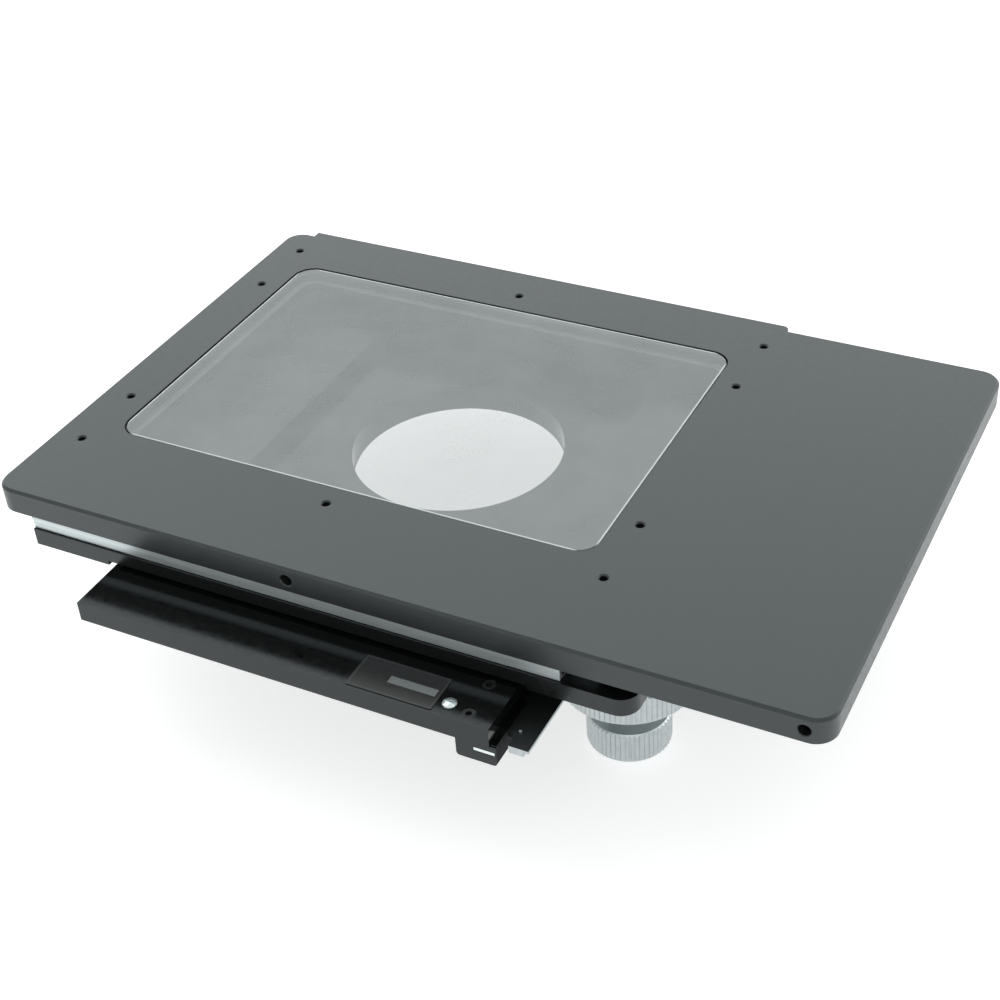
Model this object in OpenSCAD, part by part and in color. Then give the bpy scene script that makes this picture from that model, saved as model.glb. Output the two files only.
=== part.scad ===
// Manual X-Y inspection stage with a glass insert and coaxial rack-and-pinion knobs.
// Origin: axis of the light bore, on the flat underside that bolts to a stand.
// +X runs along the long side to the right, +Y to the back, +Z up. Millimetres.

/* [Top plate] */
// Length of the top plate along X
top_l = 362; // [356:1:368]
// Depth of the top plate along Y
top_d = 235; // [234:0.5:236]
// Thickness of the top plate
top_t = 11.3; // [10.5:0.1:12.5]
// Plan radius of the top plate's corners
top_r = 9; // [5:0.5:12]
// Chamfer around the top plate's upper edge
top_chamfer = 1.1; // [0.5:0.1:1.4]
// Drill radius of the tapped holes in the top face
tap_r = 1.65; // [1.25:0.05:1.8]
// Drill radius of the two tapped holes in the front face
front_tap_r = 2.5; // [2:0.05:2.7]

/* [Glass] */
// Length of the window recess along X
window_l = 224.9; // [218:0.1:228]
// Depth of the window recess along Y
window_d = 154.2; // [148:0.1:156]
// Corner radius of the window recess
window_r = 10; // [6:0.5:14]
// Width of the ledge that carries the glass
ledge_w = 3.3; // [3:0.1:5]
// Thickness of the glass
glass_t = 6.35; // [5:0.05:7]
// Gap between the glass and the recess all round
glass_gap = 0.35; // [0.2:0.05:0.5]

/* [Plates below] */
// Thickness of the cross plate
cross_t = 7.9; // [7.5:0.1:8.5]
// Thickness of the base plate
base_t = 8.9; // [8.5:0.1:9.5]
// Thickness of the rack plate under the base plate
rack_plate_t = 3.4; // [3.2:0.1:3.8]
// Radius of the light bore
bore_r = 47.4; // [44:0.1:48]

/* [Slides] */
// Width of each slide rail
rail_w = 5.8; // [5.6:0.1:5.8]
// Height of each slide rail
rail_h = 6.2; // [6:0.1:6.2]
// Clear gap between the two rails of a pair
rail_gap = 0.6; // [0.5:0.05:0.6]
// Radius of the slide balls
ball_r = 1.5; // [1.3:0.05:1.5]
// Travel along Y, either side of rest
y_travel = 75; // [60:1:75]

/* [Knobs] */
// Radius of the upper knob, which drives Y
y_knob_r = 28.2; // [24:0.1:30]
// Radius of the lower knob, which drives X
x_knob_r = 17.6; // [14:0.1:20]
// Height of the lower knob's grip
x_knob_h = 15; // [12:0.5:16]

/* [Mounting] */
// Stand bolt spacing along X
stand_x = 165.1; // [164:0.1:166]
// Stand bolt spacing along Y
stand_y = 152.4; // [150:0.1:155]
// Radius of the stand bolt holes
stand_r = 2.75; // [2.5:0.05:3]

/* [Hidden] */
eps = 0.01;
$fn = 64;

// Finishes
black_anodised = [0.22, 0.23, 0.23];
deep_black = [0.09, 0.09, 0.09];
steel = [0.70, 0.71, 0.72];
bright_alloy = [0.78, 0.79, 0.79];
bronze = [0.62, 0.47, 0.25];

// Heights, from the stand face up
z_rack_plate = rack_plate_t;
z_base = z_rack_plate + base_t;
cross_overlap = 0.4;
z_cross0 = z_base - cross_overlap;
z_cross1 = z_cross0 + cross_t;
relief_h = 2;
z_relief = z_cross0 + relief_h;
face_gap = 0.3;
z_top0 = z_cross1 + rail_h + face_gap;
z_top1 = z_top0 + top_t;

// Plan edges: [x0, x1, y0, y1]
top_x0 = -148.2;
top_y0 = -129.5;
top_x1 = top_x0 + top_l;
top_y1 = top_y0 + top_d;
cross_box = [-131.2, 139.8, top_y0, 120.5];
cross_open = [-73.2, 66.8, -60.5, 98.5];
cross_open_r = 6;
relief_x = [-94.2, 97.0];
base_box = [-91.2, 93.8, -154.8, 147.5];
rack_plate_y = [-151, 143.7];
rack_plate_x0 = -94.6;

// Window, centred on the tapped-hole pattern
window_c = [-11.75, -0.1];
window_x0 = window_c[0] - window_l / 2;
window_x1 = window_c[0] + window_l / 2;
window_y0 = window_c[1] - window_d / 2;
window_y1 = window_c[1] + window_d / 2;
gasket_t = 0.3;
gasket_inset = 0.1;
glass_recess = 0.25;
z_glass0 = z_top1 - glass_recess - glass_t;
z_ledge = z_glass0 - gasket_t;

// Tapped holes in the top face
hole_c = [-12.2, 0.8];
hole_dx = 122.3;
hole_dy_outer = 88;
hole_dy_inner = 52.95;
tap_depth = 9;
tap_sink = 0.6;
front_tap_sink = 0.35;
front_tap_x = [-5.4, 203.8];
front_tap_z = z_top1 - 6;
front_tap_depth = 12;

// X slide: moving rails follow the plate, fixed rails stand on the cross plate
x_travel_pos = 87;
x_travel_neg = 63;
x_rest_offset = -11.75;
x_rail_l = 241.8;
x_rail_moving_x0 = -131.2;
x_rail_fixed_x0 = x_rail_moving_x0 - x_rest_offset;
x_front_y = -128.5;
carrier_y1 = 114.1;
x_cage_l = 150;

// Y slide: fixed rails on the base plate's sides, moving rails under the cross plate
y_rail_l = 222;
y_rail_y0 = -114.5;
y_cage_l = 140;

// Rail section: the groove runs at ball height, half of it in each rail
groove_play = 0.03;
groove_d = ball_r * sqrt(2) + groove_play - rail_gap / 2;
z_ball_x = z_cross1 + rail_h / 2 + face_gap / 2;
z_rail_moving_y0 = z_cross0 - rail_h;
z_rail_fixed_y1 = z_cross0 - face_gap;
z_ball_y = z_rail_moving_y0 + rail_h / 2;
rail_screw_back = 1.95;
rail_screw_r = 1;
rail_head_r = 1.7;
rail_head_h = 2;
rail_screw_grip = 4.5;
foot_screw_back = 1.6;
foot_screw_r = 0.9;
foot_head_r = 1.4;
foot_head_h = 1.4;
foot_screw_top = 9;

// Cage strips and balls
cage_t = 0.3;
cage_h = 4.4;
ball_pitch = 12;
ball_clear = 0.06;

// Rack and pinion
gear_m = 0.5;
y_pinion_teeth = 32;
x_pinion_teeth = 30;
function pitch_radius(n) = gear_m * n / 2;
tooth_pitch = PI * gear_m;
addendum = gear_m;
dedendum = 1.25 * gear_m;
backlash = 0.1;
pressure = 20;
drive_c = [114.3, -75.5];
y_rack_pitch_x = drive_c[0] - pitch_radius(y_pinion_teeth);
x_rack_pitch_y = drive_c[1] - pitch_radius(x_pinion_teeth);
x_rack_back = x_rack_pitch_y - 5.5;
x_rack_x = [19, 186];
x_rack_z0 = z_cross1 + 0.7;
y_rack_teeth_y1 = 6;
y_rack_h = 2.1;
y_rack_lip_x = 107.8;

// Coaxial shafts and knobs
shaft_r = 2.5;
running = 0.04;
tube_r = 5;
tube_bore_r = 3.4;
bush_r = 6.6;
cross_bush_r = 4.5;
x_pinion_z = [z_cross1 + 0.6, z_top0 - 0.3];
y_pinion_z = [0.2, y_rack_h - 0.2];
block_z0 = 4;
knob_top = -7.4;
knob_mid = -21.4;
grip_gap = 16;
x_grip_top = knob_mid - grip_gap;
x_grip_bottom = x_grip_top - x_knob_h;
knob_chamfer = 0.8;

// Bearing block under the cross plate's right leg
block_box = [106.8, 131, -92, -59];

// Clamp block at the front right
clamp_box = [78.8, 95.8, -153.5, -127.5];
clamp_z0 = -6.6;
clamp_screws = [[83.2, -149.4], [83.2, -132.8]];
clamp_notch = [99.6, -143.5];
clamp_insert_x = [86.3, 95];
clamp_insert_z = [-1.6, -0.2];
clamp_insert_gap = 0.25;
clamp_relief = [0.4, 0.7];

// Y travel slot in the base plate, and the pin that runs in it
slot_x = 72.5;
slot_w = 5;
slot_depth = 3.3;
stop_pin_r = 2;

// X travel stops
stop_half = 4;
x_stop_y = -105;
x_pin_r = 1.5;
x_stop_pins_x = [
    x_rest_offset - stop_half - x_travel_neg - face_gap - x_pin_r,
    x_rest_offset + stop_half + x_travel_pos + face_gap + x_pin_r];

// Screw stations
x_rail_stations = [-120, -76, -32, 12, 56, 98];
carrier_stations = [-100, -54, -10, 34, 78];
y_rail_stations = [for (k = [0:4]) y_rail_y0 + 10 + k * (y_rail_l - 20) / 4];
rack_plate_stations = [[-60, -120], [60, -120], [-60, 120], [60, 120], [-80, 0], [82, 0]];
x_rack_stations = [30, 76, 132, 176];
block_stations = [[125.5, -87], [125.5, -64]];
stop_block_stations = [x_rest_offset - 2, x_rest_offset + 2];

// ---- Shared shapes ----

// Flat outline with rounded corners, box = [x0, x1, y0, y1]
module rounded_outline(box, r) {
    translate([box[0] + r, box[2]]) square([box[1] - box[0] - 2 * r, box[3] - box[2]]);
    translate([box[0], box[2] + r]) square([box[1] - box[0], box[3] - box[2] - 2 * r]);
    for (x = [box[0] + r, box[1] - r]) {
        for (y = [box[2] + r, box[3] - r]) translate([x, y]) circle(r);
    }
}

// Upright plate with rounded corners between two heights
module plate(box, r, z0, z1) {
    translate([0, 0, z0]) linear_extrude(z1 - z0) rounded_outline(box, r);
}

// Plain box between two corners
module block(box, z0, z1) {
    translate([box[0], box[2], z0]) cube([box[1] - box[0], box[3] - box[2], z1 - z0]);
}

// Side profile of a slab with its upper edges chamfered
function slab_profile(a, b, z0, z1, c) =
    [[a, z0], [b, z0], [b, z1 - c], [b - c, z1], [a + c, z1], [a, z1 - c]];

// Plate with rounded corners and a chamfer all round its upper edge
module chamfered_plate(box, r, z0, z1, c) {
    translate([box[0] + r, 0, 0]) rotate([90, 0, 90])
        linear_extrude(box[1] - box[0] - 2 * r) polygon(slab_profile(box[2], box[3], z0, z1, c));
    translate([0, box[3] - r, 0]) rotate([90, 0, 0])
        linear_extrude(box[3] - box[2] - 2 * r) polygon(slab_profile(box[0], box[1], z0, z1, c));
    for (x = [box[0] + r, box[1] - r]) {
        for (y = [box[2] + r, box[3] - r]) {
            translate([x, y, z0]) cylinder(r = r, h = z1 - z0 - c);
            translate([x, y, z1 - c]) cylinder(r1 = r, r2 = r - c, h = c);
        }
    }
}

// Upright round bar between two heights
module post(at, r, z0, z1) {
    translate([at[0], at[1], z0]) cylinder(r = r, h = z1 - z0);
}

// Upright tube between two heights
module sleeve(at, r_out, r_in, z0, z1) {
    difference() {
        post(at, r_out, z0, z1);
        post(at, r_in, z0 - eps, z1 + eps);
    }
}

// Bar lying along +Y from y0 to y1
module bar_y(x, z, r, y0, y1) {
    translate([x, y0, z]) rotate([-90, 0, 0]) cylinder(r = r, h = y1 - y0);
}

// Bar lying along +X from x0 to x1
module bar_x(y, z, r, x0, x1) {
    translate([x0, y, z]) rotate([0, 90, 0]) cylinder(r = r, h = x1 - x0);
}

// Socket cap screw standing on end: head on top when up is true, below otherwise
module cap_screw(at, z_head, head_r, head_h, shank_r, grip, up) {
    s = up ? 1 : -1;
    socket_r = head_r * 0.5;
    socket_d = head_h * 0.5;
    translate([at[0], at[1], z_head]) mirror([0, 0, up ? 0 : 1]) {
        difference() {
            translate([0, 0, -head_h]) cylinder(r = head_r, h = head_h);
            translate([0, 0, -socket_d]) cylinder(r = socket_r, h = socket_d + eps, $fn = 6);
        }
        translate([0, 0, -head_h - grip]) cylinder(r = shank_r, h = grip);
    }
}

// Matching hole for cap_screw, open past its head
module cap_screw_hole(at, z_head, head_r, head_h, shank_r, grip, up) {
    translate([at[0], at[1], z_head]) mirror([0, 0, up ? 0 : 1]) {
        translate([0, 0, -head_h]) cylinder(r = head_r, h = head_h + 8);
        translate([0, 0, -head_h - grip]) cylinder(r = shank_r, h = grip + head_h);
    }
}

// ---- Slide rails ----

// Section of a rail of width w and height h, grooved on its +u side at height gz
function rail_section(w, h, gz) =
    [[0, 0], [w, 0], [w, gz - groove_d], [w - groove_d, gz], [w, gz + groove_d], [w, h], [0, h]];

// X rail with its back at y_back; the groove faces +Y when dir is 1 and -Y when dir is -1
module x_rail(x0, y_back, z0, dir) {
    translate([x0, y_back, z0]) mirror([0, dir > 0 ? 0 : 1, 0]) rotate([90, 0, 90])
        linear_extrude(x_rail_l) polygon(rail_section(rail_w, rail_h, z_ball_x - z0));
}

// Y rail with its back at x_back; the groove faces +X when dir is 1 and -X when dir is -1
module y_rail(x_back, z0, z1, dir) {
    translate([x_back, y_rail_y0 + y_rail_l, z0]) mirror([dir > 0 ? 0 : 1, 0, 0]) rotate([90, 0, 0])
        linear_extrude(y_rail_l) polygon(rail_section(rail_w, z1 - z0, z_ball_y - z0));
}

// Distances of the two rails of a pair from the first rail's back
x_rear_y = carrier_y1;
x_front_fixed_back = x_front_y + 2 * rail_w + rail_gap;
x_rear_fixed_back = x_rear_y - 2 * rail_w - rail_gap;
x_front_screw_y = x_front_y + rail_screw_back;
x_rear_screw_y = x_rear_y - rail_screw_back;
x_front_fixed_screw_y = x_front_fixed_back - rail_screw_back;
x_rear_fixed_screw_y = x_rear_fixed_back + rail_screw_back;
y_left_back = base_box[0] - 2 * rail_w - rail_gap;
y_right_back = base_box[1] + 2 * rail_w + rail_gap;
y_left_screw_x = y_left_back + rail_screw_back;
y_right_screw_x = y_right_back - rail_screw_back;
y_foot_screw_x = [base_box[0] - foot_screw_back, base_box[1] + foot_screw_back];

// Every moving X rail screw: heads down, reaching up into the plate or the carrier
module moving_x_screw_set(hole) {
    for (x = x_rail_stations) {
        for (y = [x_front_screw_y, x_rear_screw_y]) {
            if (hole) {
                cap_screw_hole([x, y], z_top0 - rail_h, rail_head_r, rail_head_h, rail_screw_r,
                    rail_h - rail_head_h + rail_screw_grip, false);
            } else {
                cap_screw([x, y], z_top0 - rail_h, rail_head_r, rail_head_h, rail_screw_r,
                    rail_h - rail_head_h + rail_screw_grip, false);
            }
        }
    }
}

// Every fixed X rail screw: heads up, reaching down into the cross plate
module fixed_x_screw_set(hole) {
    for (x = x_rail_stations) {
        for (y = [x_front_fixed_screw_y, x_rear_fixed_screw_y]) {
            if (hole) {
                cap_screw_hole([x, y], z_cross1 + rail_h, rail_head_r, rail_head_h, rail_screw_r,
                    rail_h - rail_head_h + rail_screw_grip, true);
            } else {
                cap_screw([x, y], z_cross1 + rail_h, rail_head_r, rail_head_h, rail_screw_r,
                    rail_h - rail_head_h + rail_screw_grip, true);
            }
        }
    }
}

// Every moving Y rail screw: heads down, reaching up into the cross plate
module moving_y_screw_set(hole) {
    for (y = y_rail_stations) {
        for (x = [y_left_screw_x, y_right_screw_x]) {
            if (hole) {
                cap_screw_hole([x, y], z_rail_moving_y0, rail_head_r, rail_head_h, rail_screw_r,
                    rail_h - rail_head_h + rail_screw_grip, false);
            } else {
                cap_screw([x, y], z_rail_moving_y0, rail_head_r, rail_head_h, rail_screw_r,
                    rail_h - rail_head_h + rail_screw_grip, false);
            }
        }
    }
}

// Every fixed Y rail screw: heads down in the rack plate, reaching up into the rail
module fixed_y_screw_set(hole) {
    for (y = y_rail_stations) {
        for (x = y_foot_screw_x) {
            if (hole) {
                cap_screw_hole([x, y], 0.1, foot_head_r, foot_head_h, foot_screw_r,
                    foot_screw_top - foot_head_h, false);
            } else {
                cap_screw([x, y], 0.1, foot_head_r, foot_head_h, foot_screw_r,
                    foot_screw_top - foot_head_h, false);
            }
        }
    }
}

// ---- Racks and pinions ----

// Half of a rack tooth's width at height h above the pitch line
function rack_half(h) = tooth_pitch / 4 - backlash / 4 - h * tan(pressure);

// Points of one rack tooth centred at s: [along, out from the pitch line]
function rack_tooth(s) = [
    [s - rack_half(-dedendum), -dedendum], [s - rack_half(addendum), addendum],
    [s + rack_half(addendum), addendum], [s + rack_half(-dedendum), -dedendum]];

// Centres of the teeth between a and b, with a gap centred at mesh
function tooth_centres(a, b, mesh) =
    [for (k = [ceil((a - mesh) / tooth_pitch + 0.5):floor((b - mesh) / tooth_pitch - 0.5)])
        mesh + (k + 0.5) * tooth_pitch];

// Involute angle in degrees at a pressure angle in degrees
function involute(a) = tan(a) * 180 / PI - a;

// Radii of a pinion of n teeth at the base circle, the tips and the roots
function base_radius(n) = pitch_radius(n) * cos(pressure);
function tip_radius(n) = pitch_radius(n) + addendum;
function root_radius(n) = pitch_radius(n) - dedendum;

// Half of a pinion tooth's angle at the pitch circle, and at radius r
function pitch_half(n) = (tooth_pitch / 2 - backlash / 2) / (2 * pitch_radius(n)) * 180 / PI;
function tooth_half(n, r) =
    pitch_half(n) + involute(pressure) - involute(acos(min(1, base_radius(n) / r)));

// Points of one pinion tooth centred at angle c
flank_steps = 4;
function flank_r(n, i) = base_radius(n) + (tip_radius(n) - base_radius(n)) * i / flank_steps;
function at_angle(r, a) = [r * cos(a), r * sin(a)];
function pinion_tooth(n, c) = concat(
    [at_angle(root_radius(n), c - tooth_half(n, base_radius(n)))],
    [for (i = [0:flank_steps]) at_angle(flank_r(n, i), c - tooth_half(n, flank_r(n, i)))],
    [for (i = [flank_steps:-1:0]) at_angle(flank_r(n, i), c + tooth_half(n, flank_r(n, i)))],
    [at_angle(root_radius(n), c + tooth_half(n, base_radius(n)))]);

// Pinion of n teeth with one tooth pointing at angle aim
module pinion_outline(n, aim) {
    rotate(aim) polygon([for (k = [0:n - 1]) each pinion_tooth(n, k * 360 / n)]);
}

// ---- Top plate assembly, moves along X ----

module top_plate() {
    color(black_anodised) difference() {
        chamfered_plate([top_x0, top_x1, top_y0, top_y1], top_r, z_top0, z_top1, top_chamfer);
        plate([window_x0, window_x1, window_y0, window_y1], window_r, z_ledge, z_top1 + 1);
        plate([window_x0 + ledge_w, window_x1 - ledge_w, window_y0 + ledge_w, window_y1 - ledge_w],
            window_r - ledge_w, z_top0 - 1, z_top1);
        for (x = [-hole_dx, hole_dx]) {
            for (y = [-hole_dy_outer, -hole_dy_inner, hole_dy_inner, hole_dy_outer]) top_tap([x, y]);
        }
        for (y = [-hole_dy_outer, hole_dy_outer]) top_tap([0, y]);
        for (x = front_tap_x) {
            bar_y(x, front_tap_z, front_tap_r, top_y0 - 1, top_y0 + front_tap_depth);
            translate([x, top_y0 - eps, front_tap_z]) rotate([-90, 0, 0])
                cylinder(r1 = front_tap_r + front_tap_sink, r2 = front_tap_r, h = front_tap_sink);
        }
        for (x = carrier_stations) bar_y(x, carrier_screw_z, 1.5, carrier_screw_y0, top_y1 + 1);
        moving_x_screw_set(true);
        for (x = x_rack_stations) post([x, x_rack_screw_y], 1.25, z_top0 - 1, z_top0 + 6);
        for (x = stop_block_stations) post([x, x_stop_y], 1, z_top0 - 1, z_top0 + 5);
    }
}

// Tapped hole in the top face, at an offset from the pattern's centre
module top_tap(offset) {
    at = hole_c + offset;
    post(at, tap_r, z_top1 - tap_depth, z_top1 + 1);
    translate([at[0], at[1], z_top1 - tap_sink + eps])
        cylinder(r1 = tap_r, r2 = tap_r + tap_sink, h = tap_sink);
}

module glass_insert() {
    box = [window_x0 + glass_gap, window_x1 - glass_gap, window_y0 + glass_gap, window_y1 - glass_gap];
    color([0.75, 0.80, 0.80, 0.4])
        chamfered_plate(box, window_r - glass_gap, z_glass0, z_glass0 + glass_t, 0.6);
}

module glass_gasket() {
    outer = [window_x0 + gasket_inset, window_x1 - gasket_inset,
        window_y0 + gasket_inset, window_y1 - gasket_inset];
    inner = [window_x0 + ledge_w, window_x1 - ledge_w, window_y0 + ledge_w, window_y1 - ledge_w];
    color([0.75, 0.77, 0.77]) difference() {
        plate(outer, window_r - gasket_inset, z_ledge, z_glass0);
        plate(inner, window_r - ledge_w, z_ledge - 1, z_glass0 + 1);
    }
}

// Bar bolted to the plate's rear edge: it carries the rear moving rail
carrier_x = [-139.5, 113.8];
carrier_z1 = z_top1 - 3.6;
carrier_corner = 3;
carrier_screw_z = (z_top0 + carrier_z1) / 2;
carrier_head_h = 3;
carrier_head_r = 2.75;
carrier_screw_y0 = top_y1 - 12;

module rear_rail_carrier() {
    box = [carrier_x[0], carrier_x[1], top_y1, carrier_y1];
    color(black_anodised) difference() {
        union() {
            block([box[0], box[1] - carrier_corner, box[2], box[3]], z_top0, carrier_z1);
            block([box[0], box[1], box[2], box[3] - carrier_corner], z_top0, carrier_z1);
            post([box[1] - carrier_corner, box[3] - carrier_corner], carrier_corner, z_top0, carrier_z1);
        }
        for (x = carrier_stations) {
            bar_y(x, carrier_screw_z, 1.5, top_y1 - 1, carrier_y1 + 1);
            bar_y(x, carrier_screw_z, carrier_head_r, carrier_y1 - carrier_head_h, carrier_y1 + 1);
        }
        moving_x_screw_set(true);
    }
}

module carrier_screws() {
    color(deep_black) for (x = carrier_stations) {
        bar_y(x, carrier_screw_z, 1.5, carrier_screw_y0, carrier_y1 - carrier_head_h);
        difference() {
            bar_y(x, carrier_screw_z, carrier_head_r, carrier_y1 - carrier_head_h, carrier_y1 - 0.2);
            translate([x, carrier_y1 - 1.7, carrier_screw_z]) rotate([-90, 0, 0])
                cylinder(r = 1.45, h = 2, $fn = 6);
        }
    }
}

module x_rail_front_moving() {
    color(steel) difference() {
        x_rail(x_rail_moving_x0, x_front_y, z_top0 - rail_h, 1);
        moving_x_screw_set(true);
        end_screw_set();
    }
}

module x_rail_rear_moving() {
    color(steel) difference() {
        x_rail(x_rail_moving_x0, x_rear_y, z_top0 - rail_h, -1);
        moving_x_screw_set(true);
        end_screw_set();
    }
}

module x_rail_screws_moving() {
    color(deep_black) moving_x_screw_set(false);
}

// Small screws in the ends of the moving X rails, which keep the ball cages in
end_head_t = 0.8;
end_head_r = 1.5;
end_screw_l = 5;

module end_screw_set() {
    for (y = [x_front_y + 2, x_rear_y - 2]) {
        for (x = [x_rail_moving_x0, x_rail_moving_x0 + x_rail_l - end_screw_l]) {
            bar_x(y, z_top0 - 2.2, 0.7, x, x + end_screw_l);
        }
    }
}

module x_rail_end_screws() {
    color(deep_black) {
        end_screw_set();
        for (y = [x_front_y + 2, x_rear_y - 2]) {
            for (x = [x_rail_moving_x0 - end_head_t, x_rail_moving_x0 + x_rail_l]) {
                bar_x(y, z_top0 - 2.2, end_head_r, x, x + end_head_t);
            }
        }
    }
}

x_rack_screw_y = x_rack_back + 2.4;

module x_rack() {
    centres = tooth_centres(x_rack_x[0], x_rack_x[1], drive_c[0]);
    teeth = [for (s = centres) for (p = rack_tooth(s)) [p[0], x_rack_pitch_y + p[1]]];
    outline = concat([[x_rack_x[0], x_rack_back], [x_rack_x[0], x_rack_pitch_y - dedendum]], teeth,
        [[x_rack_x[1], x_rack_pitch_y - dedendum], [x_rack_x[1], x_rack_back]]);
    color(steel) difference() {
        translate([0, 0, x_rack_z0]) linear_extrude(z_top0 - x_rack_z0) polygon(outline);
        for (x = x_rack_stations) {
            cap_screw_hole([x, x_rack_screw_y], x_rack_z0, 2.1, 2, 1.25, 4, false);
        }
    }
}

module x_rack_screws() {
    color(deep_black) for (x = x_rack_stations) {
        cap_screw([x, x_rack_screw_y], x_rack_z0, 2.1, 2, 1.25, z_top0 + 3 - x_rack_z0, false);
    }
}

stop_block_z0 = z_cross1 + 1.2;

module x_stop_block() {
    box = [x_rest_offset - stop_half, x_rest_offset + stop_half, x_stop_y - 3.5, x_stop_y + 3.5];
    color(deep_black) difference() {
        block(box, stop_block_z0, z_top0);
        for (x = stop_block_stations) {
            cap_screw_hole([x, x_stop_y], stop_block_z0, 1.8, 1.8, 1, 6, false);
        }
    }
}

module x_stop_block_screws() {
    color(steel) for (x = stop_block_stations) {
        cap_screw([x, x_stop_y], stop_block_z0, 1.8, 1.8, 1, z_top0 + 4 - stop_block_z0 - 1.8, false);
    }
}

// ---- Cross plate assembly, moves along Y ----

cross_corner = 8;
sharp_corner = 12;

module cross_plate() {
    color(black_anodised) difference() {
        union() {
            plate(cross_box, cross_corner, z_cross0, z_cross1);
            block([cross_box[0], cross_box[0] + sharp_corner, cross_box[2], cross_box[2] + sharp_corner],
                z_cross0, z_cross1);
        }
        plate(cross_open, cross_open_r, z_cross0 - 1, z_cross1 + 1);
        block([relief_x[0], relief_x[1], cross_box[2] - 1, cross_box[3] + 1], z_cross0 - 1, z_relief);
        post(drive_c, cross_bush_r, z_cross0 - 1, z_cross1 + 1);
        for (at = block_stations) post(at, 1.5, z_cross0 - 1, z_cross0 + 6);
        for (x = x_stop_pins_x) post([x, x_stop_y], x_pin_r, z_cross1 - 5, z_cross1 + 1);
        post([slot_x, 0], stop_pin_r, z_relief - 1, z_relief + 4);
        fixed_x_screw_set(true);
        moving_y_screw_set(true);
    }
}

module x_rail_front_fixed() {
    color(steel) difference() {
        x_rail(x_rail_fixed_x0, x_front_fixed_back, z_cross1, -1);
        fixed_x_screw_set(true);
    }
}

module x_rail_rear_fixed() {
    color(steel) difference() {
        x_rail(x_rail_fixed_x0, x_rear_fixed_back, z_cross1, 1);
        fixed_x_screw_set(true);
    }
}

module x_rail_screws_fixed() {
    color(deep_black) fixed_x_screw_set(false);
}

module x_stop_pins() {
    color(steel) for (x = x_stop_pins_x) post([x, x_stop_y], x_pin_r, z_cross1 - 5, z_cross1 + 4.5);
}

module y_rail_left_moving() {
    color(steel) difference() {
        y_rail(y_left_back, z_rail_moving_y0, z_cross0, 1);
        moving_y_screw_set(true);
    }
}

module y_rail_right_moving() {
    color(steel) difference() {
        y_rail(y_right_back, z_rail_moving_y0, z_cross0, -1);
        moving_y_screw_set(true);
    }
}

module y_rail_screws_moving() {
    color(deep_black) moving_y_screw_set(false);
}

module y_stop_pin() {
    color(steel) post([slot_x, 0], stop_pin_r, z_base - slot_depth + 0.5, z_relief + 4);
}

block_screw_z = block_z0 + 0.1;

module bearing_block() {
    color(black_anodised) difference() {
        block(block_box, block_z0, z_cross0);
        post(drive_c, bush_r, block_z0 - 1, z_cross0 + 1);
        for (at = block_stations) {
            cap_screw_hole(at, block_screw_z, 2.75, 3, 1.5, 6, false);
        }
    }
}

module bearing_block_screws() {
    color(deep_black) for (at = block_stations) {
        cap_screw(at, block_screw_z, 2.75, 3, 1.5, z_cross0 + 5 - block_screw_z - 3, false);
    }
}

tube_bearing_z1 = block_z0 + 5.2;

module tube_bearing() {
    color(bronze) sleeve(drive_c, bush_r, tube_r + running, block_z0, tube_bearing_z1);
}

module shaft_bearing() {
    color(bronze) sleeve(drive_c, cross_bush_r, shaft_r + running, z_cross0 + 0.2, z_cross1);
}

// ---- Ball cages, move at half the speed of their slides ----

x_ball_front_y = x_front_y + rail_w + rail_gap / 2;
x_ball_rear_y = x_rear_y - rail_w - rail_gap / 2;
x_cage_c = x_rail_moving_x0 + x_rail_l / 2 - x_rest_offset / 2;
y_ball_left_x = y_left_back + rail_w + rail_gap / 2;
y_ball_right_x = y_right_back - rail_w - rail_gap / 2;
y_cage_c = y_rail_y0 + y_rail_l / 2;
x_ball_stations = [for (k = [-5.5:5.5]) x_cage_c + k * ball_pitch];
y_ball_stations = [for (k = [-5:5]) y_cage_c + k * ball_pitch];

module x_cage(y) {
    color(bronze) difference() {
        translate([x_cage_c - x_cage_l / 2, y - cage_t / 2, z_ball_x - cage_h / 2])
            cube([x_cage_l, cage_t, cage_h]);
        for (x = x_ball_stations) bar_y(x, z_ball_x, ball_r + ball_clear, y - 1, y + 1);
    }
}

module x_cage_front() {
    x_cage(x_ball_front_y);
}

module x_cage_rear() {
    x_cage(x_ball_rear_y);
}

module x_balls() {
    color(bright_alloy) for (x = x_ball_stations) {
        for (y = [x_ball_front_y, x_ball_rear_y]) translate([x, y, z_ball_x]) sphere(ball_r);
    }
}

module y_cage(x) {
    color(bronze) difference() {
        translate([x - cage_t / 2, y_cage_c - y_cage_l / 2, z_ball_y - cage_h / 2])
            cube([cage_t, y_cage_l, cage_h]);
        for (y = y_ball_stations) bar_x(y, z_ball_y, ball_r + ball_clear, x - 1, x + 1);
    }
}

module y_cage_left() {
    y_cage(y_ball_left_x);
}

module y_cage_right() {
    y_cage(y_ball_right_x);
}

module y_balls() {
    color(bright_alloy) for (y = y_ball_stations) {
        for (x = [y_ball_left_x, y_ball_right_x]) translate([x, y, z_ball_y]) sphere(ball_r);
    }
}

// ---- Base assembly, bolts to the stand ----

stand_head_r = 4.75;
stand_head_h = 5.5;
rack_screw_r = 1.5;
rack_screw_head = 3;

module stand_holes(z0, z1) {
    for (x = [-stand_x / 2, stand_x / 2]) {
        for (y = [-stand_y / 2, stand_y / 2]) post([x, y], stand_r, z0, z1);
    }
}

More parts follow.
